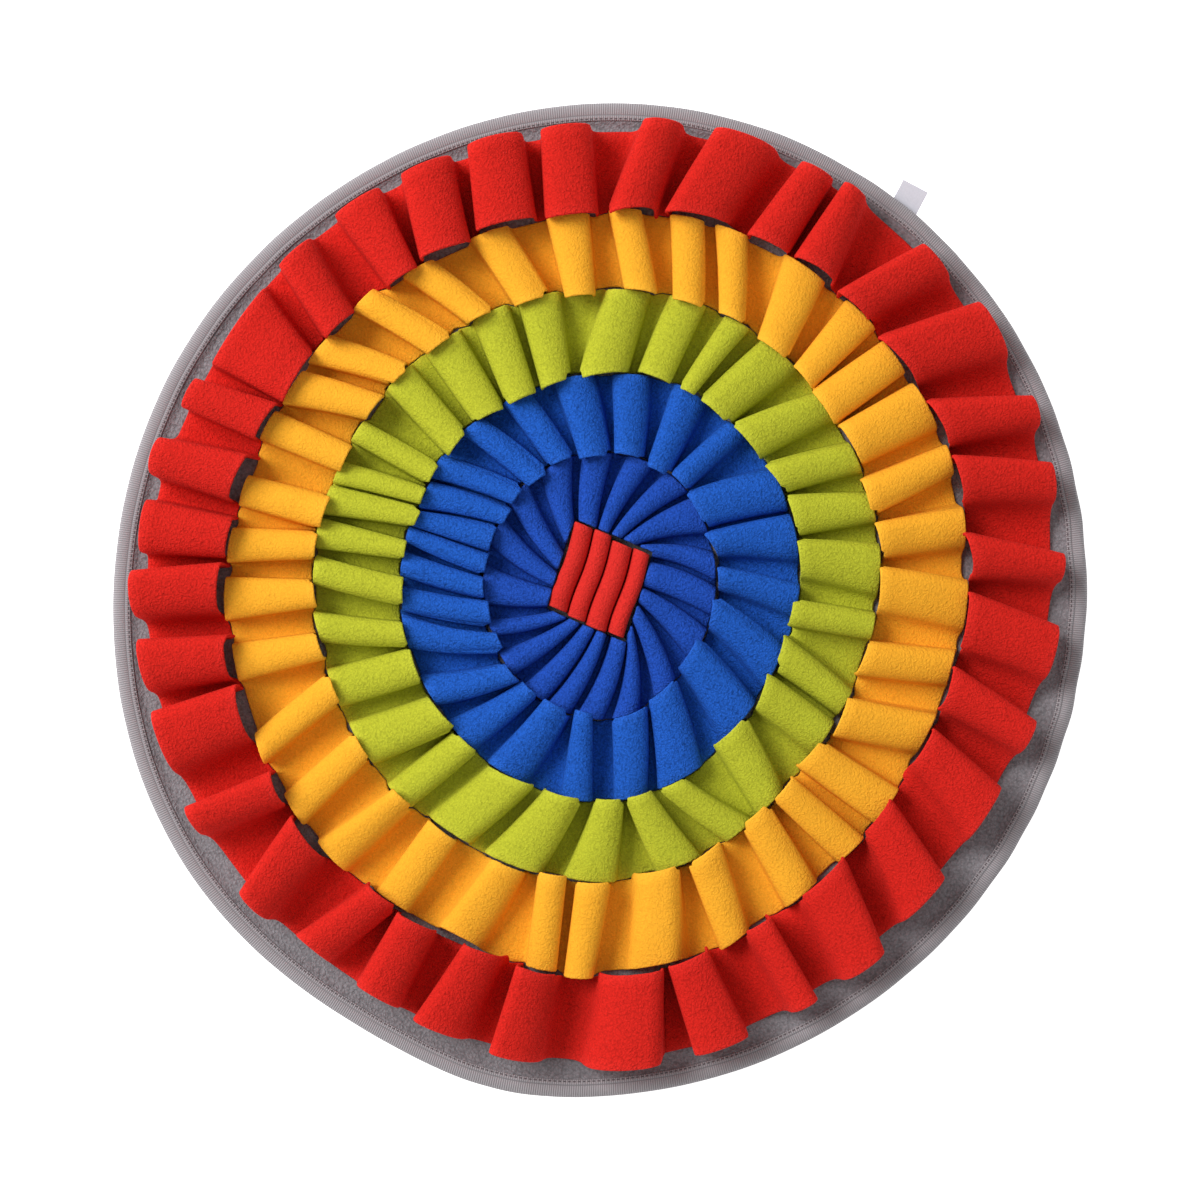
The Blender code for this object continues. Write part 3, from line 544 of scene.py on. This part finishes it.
def lane_radius(number, angle):
    """Outer radius of a strip's lane about its own middle."""
    rows = ((30, 25, 5.5), (68, 14, 3.0), (132, 22, -10.5), (180, 10, 1.8), (207, 12, -2.5),
            (280, 12, 1.5), (298, 10, -2.5), (346, 18, -4.5))
    lane = lanes[number]
    return oval(lane[2], lane[3], angle) + bulge(rows, angle) * lane[2] / 260.0


# In millimetres: the gap between the innermost strip and the pleats, and how far the middle of
# the pleats lies above the strip's own.
hub_gap = 0.6
hub_above = 2.3


def hub_radius(angle):
    """Distance from the middle of the innermost strip to the side of the pleated middle."""
    x, y = turned(angle)
    radius = 60.0 + 0.0 * x
    # Columns: bearing that a side of the pleated middle faces, and its distance from the middle.
    for bearing, half in ((23.6, 25.8), (107.4, 23.5), (203.6, 25.8), (287.4, 23.5)):
        face_x, face_y = turned(bearing)
        facing = x * face_x + y * face_y
        reach = half + hub_gap + hub_above * face_y
        straight = reach / np.maximum(facing, 0.05)
        radius = np.where(facing > 0.05, np.minimum(radius, straight), radius)
    return radius


def inner_radius(number, angle):
    """Inner radius of a lane, up to the lane or the pleats inside it, and the bearing there."""
    if number == innermost:
        return around(spread(hub_radius(bearings), 1.5), angle) + 0.2, angle
    lane = lanes[number]
    inside = lanes[number + 1]
    x, y = turned(angle)
    radius = inside[2] + 0.0 * x
    for attempt in range(6):
        away_x = lane[0] + radius * x - inside[0]
        away_y = lane[1] + radius * y - inside[1]
        bearing = np.degrees(np.arctan2(away_x, away_y))
        radius = radius + lane_radius(number + 1, bearing) - np.hypot(away_x, away_y)
    return radius, bearing


def meeting_bearing(number, edge, angle):
    """Bearing of a point of an edge about the middle of the inner strip of the two that meet."""
    if edge == "outer":
        return angle
    bearing = inner_radius(number, angle)[1]
    return angle + (bearing - angle + 180) % 360 - 180


def loop_spans(number, edge):
    """First and last bearing of each loop at the line where two strips meet."""
    first, last = (0, 1) if edge == "outer" else (2, 3)
    return [(meeting_bearing(number, edge, loop[first]), meeting_bearing(number, edge, loop[last]))
            for loop in all_loops[number]]


def meeting_line(number):
    """How far the line outside a strip strays, pushed one way or the other by the loops there."""
    source = np.random.default_rng(40 + number)
    line = np.zeros(len(bearings))
    for owner, edge, way in ((number - 1, "inner", -1), (number, "outer", 1)):
        for start, end in loop_spans(owner, edge):
            off = np.abs((bearings - (start + end) / 2 + 180) % 360 - 180)
            line += way * source.uniform(0.0, most_stray[number]) * (off < (end - start) / 2)
    return spread(line, math.degrees(2.5 / lanes[number][2]))


def mean_radius(number, edge):
    """Mean radius of a strip's outer or inner edge."""
    angles = np.arange(0, 360, 10.0)
    if edge == "outer":
        return lane_radius(number, angles).mean()
    return inner_radius(number, angles)[0].mean()


strays = [np.zeros(len(bearings))] + [meeting_line(number) for number in range(1, 5)]


def seam_lines(loops, first, last, radius):
    """Where the strip is sewn down, in millimetres along it: before each loop and at its end."""
    seams = []
    scale = math.radians(radius)
    turns = [loops[-1]] + list(loops)
    for number in range(len(turns) - 1):
        back = 360.0 if number == 0 else 0.0
        ends = (turns[number][last] - back) * scale
        starts = turns[number + 1][first] * scale
        lean = (turns[number][4] + turns[number + 1][4]) / 2
        loop = turns[number + 1] if lean < 0 else turns[number]
        over = min(3.0, 0.15 * (loop[last] - loop[first]) * scale)
        seams.append((ends + starts) / 2 - lean * ((starts - ends) / 2 + over * abs(lean)))
    seams.append(seams[0] + 360.0 * scale)
    return seams


def loop_side(soft, room):
    """Flank of one side of a loop, as shares of its height and of the way out to the seam.

    A side with a softness of 1 slopes down to the seam, one of 0 is upright over a flat
    trough, and one of -1 overhangs the seam.
    """
    upright = np.array([(1.0, 0.0), (0.35, 0.0), (0.03, 0.06), (-0.03, 0.45)])
    slope = np.array([(1.0, 0.0), (0.62, 0.06), (0.32, 0.27), (0.12, 0.6)])
    under = np.array([(1.0, 0.0), (0.8, 0.1), (0.5, 0.35), (0.22, 0.68)])
    upright = under if room < 1.4 else upright
    return upright + ((slope if soft > 0 else under) - upright) * abs(soft)


def loop_line(start, end, foot_start, foot_end, lean, rise, drop=5.6):
    """Middle line of one loop, in distance along the strip and height over the seam.

    It leaves the seam before it at foot_start and comes down at foot_end. Its shoulders are up
    to the drop lower than its peak, and it peaks nearer to the side that it leans to.
    """
    peak = start + (end - start) * (0.5 + 0.3 * lean)
    near = rise * (1 - 0.36 * max(lean, 0.0)) - min(drop, 0.6 + 0.7 * (peak - start))
    flank = loop_side(lean, start - foot_start)
    line = [(start + (foot_start - start) * along, near * up) for along, up in flank]
    line.append((start, near))
    for turn in (22.5, 45.0, 67.5):
        up, across = turned(turn)
        line.append((peak + (start - peak) * across, near + (rise - near) * up))
    line.append((peak, rise))
    far = rise * (1 - 0.36 * max(-lean, 0.0)) - min(drop, 0.6 + 0.7 * (end - peak))
    flank = loop_side(-lean, foot_end - end)
    for turn in (67.5, 45.0, 22.5):
        up, across = turned(turn)
        line.append((peak + (end - peak) * across, far + (rise - far) * up))
    line.append((end, far))
    line += [(end + (foot_end - end) * along, far * up) for along, up in flank[::-1]]
    return line


def rounded(line, steps):
    """A smooth curve that keeps inside the corners of a line of points."""
    line = np.asarray(line, float)
    halves = (line[1:] + line[:-1]) / 2
    blend = (np.arange(steps) / steps)[None, :, None]
    start, corner, end = halves[:-1, None], line[1:-1, None], halves[1:, None]
    curve = (1 - blend) ** 2 * start + 2 * blend * (1 - blend) * corner + blend ** 2 * end
    size = line.shape[1]
    return np.concatenate([line[:1], curve.reshape(-1, size), halves[-1:], line[-1:]])


def strip_side(number, edge):
    """Smooth middle line of a strip at one edge: along, height, and how far it reaches out."""
    loops, rise = all_loops[number], rises[number]
    first, last, seed = (0, 1, number) if edge == "outer" else (2, 3, number + 10)
    radius = mean_radius(number, edge)
    scale = math.radians(radius)
    seams = seam_lines(loops, first, last, radius)
    source = np.random.default_rng(seed)
    line = [(seams[0], 0.0, 0.0)]
    for order, loop in enumerate(loops):
        high = rise * (1.0 + 0.035 * math.sin(2.4 * order + seed % 10))
        high *= 1.0 + source.uniform(-0.02, 0.02) - 0.025 * max(2.0 - loop[5], 0.0)
        if edge == "inner":
            high *= source.uniform(*inner_shares[number])
        elif number > 0:
            high *= source.uniform(*outer_shares[number])
        starts, ends = loop[first] * scale + 0.9, loop[last] * scale - 0.9
        out, out_start, out_end = loop[5], 1.0, 1.0
        if number == innermost:
            out = min(out, 0.0) - source.uniform(0.0, 0.2)
        if edge == "inner":
            at_right = loop[first] % 360 < 180
            out = loop[6] * (0.6 if at_right else 0.85) if number == 0 else 0.0
            out_start, out_end = (0.4, 1.3) if at_right else (1.3, 0.4)
        piece = loop_line(starts, ends, seams[order] + 1.3, seams[order + 1] - 1.3, loop[4], high,
                          4.6 if number == innermost else 5.6)
        for along, up in piece:
            share = min(max((along - starts) / (ends - starts), 0.0), 1.0)
            sweep = out_start + (out_end - out_start) * share
            line.append((along, up, out * max(up, 0.0) / high * sweep))
    line.append((seams[-1], 0.0, 0.0))
    return rounded(line, 3)


def crown(number, edge):
    """Greatest height near each bearing of a strip's edge."""
    line = strip_side(number, edge)
    radius = mean_radius(number, edge)
    dense = np.arange(0, len(line) - 1, 0.1)
    angle = np.degrees(np.interp(dense, np.arange(len(line)), line[:, 0]) / radius)
    angle = meeting_bearing(number, edge, angle)
    height = np.interp(dense, np.arange(len(line)), line[:, 1])
    top = np.zeros(len(bearings))
    np.maximum.at(top, np.round(angle * 2).astype(int) % len(bearings), height)
    millimetre = math.degrees(1.0 / radius)
    return spread(spread(top, 4.5 * millimetre, True), 1.0 * millimetre)


def room_over(height, low):
    """How free a point is to hang over a neighbour of some height, from 0 to 1."""
    clear, eased = 2.8, 2.2
    share = np.clip((height - low - clear) / eased, 0.0, 1.0)
    return share * share * (3 - 2 * share)


def loop_ends(number, edge, free, stray, low, high):
    """Straight ends for the loops: how far each may reach, as a list for every half degree."""
    source = np.random.default_rng(70 + number)
    ends = []
    for start, end in loop_spans(number, edge):
        reach = around(source.uniform(low, high) * free + stray, np.linspace(start, end, 9))
        reach = reach - source.uniform(0.0, 0.2)
        ends += [(start % 360, reach[:5].min()), (end % 360, reach[4:].min())]
    ends = sorted(ends)
    where = np.array([item[0] for item in ends])
    reach = np.array([item[1] for item in ends])
    return np.interp(bearings, np.concatenate([where - 360, where, where + 360]), np.tile(reach, 3))


def hollows():
    """How far the red loops' inner ends stand back, for every half degree."""
    ends = sorted((sum(span) / 2 % 360, loop[6] * (0.24 if loop[2] % 360 < 180 else 0.34))
                  for span, loop in zip(loop_spans(0, "inner"), red_loops))
    where, back = zip(*ends)
    return spread(np.interp(bearings, where, back), 2.0)


def strip_edge(number, edge, half, gap):
    """Bearing, radius and height of the points along one edge of a strip.

    half is half the cloth's thickness, and gap is the distance kept from the line where two
    strips meet.
    """
    side = strip_side(number, edge)
    angle = np.degrees(side[:, 0] / mean_radius(number, edge))
    bearing = meeting_bearing(number, edge, angle)
    height = side[:, 1]
    lift = np.clip(height / 6, 0, 1)
    if edge == "outer":
        other, seam, way, facing = number - 1, number, 1, "inner"
        radius = lane_radius(number, angle) - half
        radius = radius + (np.minimum(side[:, 2], 0) - gap if number > 0 else side[:, 2])
    else:
        other, seam, way, facing = number + 1, number + 1, -1, "outer"
        radius = inner_radius(number, angle)[0] + half + gap + side[:, 2]
    if 0 <= other <= innermost:
        # How far a free point may hang over, and the least and most for a loop's whole end.
        most, low, high = (2.0, 0.5, 2.0) if edge == "outer" else (5.0, 1.6, 5.0)
        neighbour = crown(other, facing)
        peak = np.maximum(crown(number, edge), 5.0)
        stray = way * strays[seam]
        sunk = hollows() if (number, edge) == (1, "outer") else 0.0 * bearings
        ends = loop_ends(number, edge, room_over(peak - 0.6, neighbour), stray + sunk, low, high)
        free = most * room_over(height, around(neighbour, bearing)) + around(stray, bearing)
        free = free + around(sunk, bearing) * np.clip(height / around(peak, bearing), 0, 1)
        reach = np.minimum(free, around(stray, bearing) * (1 - lift) + around(ends, bearing) * lift)
        frayed = np.random.default_rng(seam + 20).uniform(0.0, 0.2, len(angle)) * lift
        back = np.clip(1.5 - side[:, 2], 0, 1) if edge == "inner" else 1.0
        radius = radius + way * (reach * back - frayed)
    return np.stack([angle, radius, height])


def strip_surface(number, stations=9, half=0.95, gap=0.18):
    """Points, faces and edge marks of a looped strip, as a closed sheet."""
    outer = strip_edge(number, "outer", half, gap)
    inner = strip_edge(number, "inner", half, gap)
    count = outer.shape[1]
    outer_way, inner_way = np.array(turned(outer[0])), np.array(turned(inner[0]))
    grid = np.zeros((count, stations, 3))
    ripple = np.arange(count) / count
    for column, share in enumerate(np.linspace(0.0, 1.0, stations)):
        angle, radius, height = inner * (1 - share) + outer * share
        swept = radius * np.array(turned(angle))
        straight = inner[1] * inner_way * (1 - share) + outer[1] * outer_way * share
        place = (swept + straight) / 2
        bow = 4 * share * (1 - share)
        wobble = smooth_noise(ripple * 3 + share * 0.3, number + 3, 9) * np.clip(height / 8, 0, 1)
        sag = 0.5 * bow * np.clip(height / rises[number], 0, 1)
        height = height + 0.35 * wobble * (0.2 + 0.8 * bow) - sag
        grid[:, column] = np.stack([lanes[number][0] + middle[0] + place[0],
                                    lanes[number][1] + middle[1] + place[1],
                                    seam_height + height], axis=-1)
    return closed_sheet(grid, half, True)


def closed_sheet(grid, half, joined=False):
    """A closed sheet with rounded edges about a grid of middle points, a ring if it is joined."""
    along = np.gradient(grid, axis=0)
    across = np.gradient(grid, axis=1)
    normal = np.cross(across, along)
    normal /= np.linalg.norm(normal, axis=-1, keepdims=True)
    normal *= np.sign(np.median(normal[..., 2])) if np.median(normal[..., 2]) else 1.0
    outward = across / np.linalg.norm(across, axis=-1, keepdims=True)
    rows = [grid[:, column] + half * normal[:, column] for column in range(grid.shape[1])]
    for edge, way, angles in ((-1, 1, (45, 90, 135)), (0, -1, (225, 270, 315))):
        for turn in angles:
            rim, up = turned(turn)
            off = up * normal[:, edge] + abs(rim) * way * outward[:, edge]
            rows.append(grid[:, edge] + half * off)
        if edge == -1:
            rows += [grid[:, column] - half * normal[:, column]
                     for column in reversed(range(grid.shape[1]))]
    size = len(rows)
    rows = np.stack(rows, axis=1)
    count = grid.shape[0]
    if joined:
        count -= 1
        rows[0] = (rows[0] + rows[count]) / 2
    points = rows[:count].reshape(-1, 3)
    faces = grid_faces(count, size, joined, True)
    if not joined:
        faces.append(list(range(size)))
        faces.append([(count - 1) * size + step for step in reversed(range(size))])
    stations = grid.shape[1]
    # Marks the rounded cut edges, where the fleece gets its painted highlight.
    edge = np.concatenate([np.zeros(stations), np.ones(3), np.zeros(stations), np.ones(3)])
    edge[[0, stations - 1, stations + 3, 2 * stations + 2]] = 0.8
    return points, faces, {"edge": np.tile(edge, count)}


# ---------------------------------------------------------------- red ring
# The outermost strip, of red fleece, sewn down to the base between its 35 loops. They are the
# tallest, and some at the left stand open at their inner ends.
points, faces, edges = strip_surface(0)
red_ring = new_piece("red_strip", points, faces, "ring_red", edges)
red_fleece = fleece("red_fleece", (0.63, 0.018, 0.012), contrast=0.5, depth=0.0008)
red_ring.data.materials.append(red_fleece)

# ---------------------------------------------------------------- yellow ring
# The second strip, of yellow fleece, sewn down to the base between its 35 loops. Their outer
# ends are lower than the red loops, which hang over them.
points, faces, edges = strip_surface(1)
yellow_ring = new_piece("yellow_strip", points, faces, "ring_yellow", edges)
yellow_fleece = fleece("yellow_fleece", (0.90, 0.405, 0.027), contrast=0.26, depth=0.0005)
yellow_ring.data.materials.append(yellow_fleece)

# ---------------------------------------------------------------- green ring
# The third strip, of lime green fleece, sewn down to the base between its 30 loops. Their outer
# ends are lower than the yellow loops, which hang over them.
points, faces, edges = strip_surface(2)
green_ring = new_piece("green_strip", points, faces, "ring_green", edges)
green_fleece = fleece("green_fleece", (0.445, 0.465, 0.030), contrast=0.45, depth=0.0005)
green_ring.data.materials.append(green_fleece)

# ---------------------------------------------------------------- blue ring
# The fourth strip, of blue fleece, sewn down to the base between its 24 loops. Their outer ends
# are lower than the green loops, which hang over them.
points, faces, edges = strip_surface(3)
blue_ring = new_piece("blue_strip", points, faces, "ring_blue", edges)
blue_fleece = fleece("blue_fleece", (0.015, 0.098, 0.475), contrast=0.8, depth=0.0008)
blue_ring.data.materials.append(blue_fleece)

# ---------------------------------------------------------------- royal blue ring
# The innermost strip, of darker blue fleece, sewn down to the base between its 18 loops. They
# grow narrow towards the middle, where they come up to the pleats.
points, faces, edges = strip_surface(4)
royal_ring = new_piece("royal_strip", points, faces, "ring_royal", edges)
royal_fleece = fleece("royal_fleece", (0.015, 0.071, 0.415), contrast=0.8, depth=0.0008)
royal_ring.data.materials.append(royal_fleece)

# ---------------------------------------------------------------- pleated middle
# A strip of the red fleece laid in four narrow pleats side by side. Their upper and lower ends
# are a little out of step and droop, and the pleats bend slightly along their length.
pleat_rise = 16.0
pleat_length = 49.0
pleat_bearing = 17.4
pleat_half = 0.9
# How far the pleats' folds and the row that they lie in are out of square.
pleat_skew = 6.2
# Columns: where a pleat starts and ends across the piece, and its lean.
pleats = ((-23.6, -12.0, -0.2), (-11.2, -0.6, 0.0), (0.2, 12.6, 0.0), (13.4, 23.4, 0.2))
seams = [-22.2, -11.6, -0.2, 13.0, 22.0]
line = []
for order, (start, end, lean) in enumerate(pleats):
    before = seams[order] + (0.0 if order == 0 else 1.0)
    after = seams[order + 1] - (0.0 if order == 3 else 1.0)
    line += loop_line(start + pleat_half, end - pleat_half, before, after, lean, pleat_rise)
line = rounded(line, 3)
across_x, across_y = turned(90.0 + pleat_bearing + pleat_skew)
up_x, up_y = turned(pleat_bearing)
pleat_x, pleat_y = 0.6 + middle[0], 11.0 + middle[1]
# Where the ends step, and how far each end reaches past the middle length there.
steps = (-30.0, -12.4, -11.0, -1.2, 0.4, 12.6, 14.0, 30.0)
tops = np.interp(line[:, 0], steps, (0.4, 0.4, 0.9, 0.9, -0.9, -0.9, -0.2, -0.2))
bottoms = np.interp(line[:, 0], steps, (0.6, 0.6, -0.6, -0.2, -1.2, -0.9, 0.2, 0.2))
shares = np.linspace(-0.5, 0.5, 17)
grid = np.zeros((len(line), len(shares), 3))
for column, share in enumerate(shares):
    bend = 0.7 * math.sin(2 * math.pi * (share + 0.1))
    reach = share * pleat_length + tops * max(2 * share, 0.0) + bottoms * max(-2 * share, 0.0)
    droop = 1.8 * max(abs(2 * share) - 0.8, 0.0) / 0.2
    grid[:, column] = np.stack([
        pleat_x + across_x * (line[:, 0] + bend) + up_x * reach,
        pleat_y + across_y * (line[:, 0] + bend) + up_y * reach,
        seam_height + line[:, 1] * (1 - droop / pleat_rise)], axis=-1)
points, faces, edges = closed_sheet(grid, pleat_half)
centre = new_piece("centre_pleats", points, faces, "centre", edges)
# The pleats have their own copy of the red fleece, a little lighter and pinker: painted light, for
# the middle being lit from all sides.
centre_lit_fleece = fleece("centre_lit_fleece", (0.64, 0.027, 0.021), contrast=0.4)
centre.data.materials.append(centre_lit_fleece)

# ---------------------------------------------------------------- floor, light and camera
# A plain pale floor that glows a little and so stays near white, a broad light from the upper
# left, and a camera straight above.
floor_half = 4.0
floor_level = -0.0005
corners = [(x * floor_half, y * floor_half, floor_level)
           for x, y in ((-1, -1), (1, -1), (1, 1), (-1, 1))]
floor_mesh = bpy.data.meshes.new("floor")
floor_mesh.from_pydata(corners, [], [(0, 1, 2, 3)])
floor = bpy.data.objects.new("floor", floor_mesh)
bpy.context.scene.collection.objects.link(floor)
material = bpy.data.materials.new("floor")
material.use_nodes = True
shader = material.node_tree.nodes["Principled BSDF"]
shader.inputs["Base Color"].default_value = (0.93, 0.93, 0.93, 1)
shader.inputs["Roughness"].default_value = 0.9
shader.inputs["Emission Color"].default_value = (1, 1, 1, 1)
shader.inputs["Emission Strength"].default_value = 0.8
floor_mesh.materials.append(material)

world = bpy.data.worlds.new("studio")
bpy.context.scene.world = world
world.use_nodes = True
sky = world.node_tree.nodes["Background"]
sky.inputs["Color"].default_value = (1, 1, 1, 1)
sky.inputs["Strength"].default_value = 0.5


def lamp(name, place, size, power):
    """A square light that faces the mat."""
    data = bpy.data.lights.new(name, "AREA")
    data.size = size
    data.energy = power
    light = bpy.data.objects.new(name, data)
    bpy.context.scene.collection.objects.link(light)
    light.location = place
    x, y, z = place
    light.rotation_euler = (math.atan2(math.hypot(x, y), z), 0.0, math.atan2(y, x) + math.pi / 2)


lamp("key", (-2.25, 1.25, 2.4), 2.0, 129.0)

camera_height = 1.8
framed_width = 0.6924
view = bpy.data.cameras.new("camera")
view.sensor_width = 36.0
view.lens = 36.0 * camera_height / framed_width
camera = bpy.data.objects.new("camera", view)
bpy.context.scene.collection.objects.link(camera)
camera.location = (0.0, 0.0, camera_height)
bpy.context.scene.camera = camera
bpy.context.scene.view_settings.view_transform = "Standard"
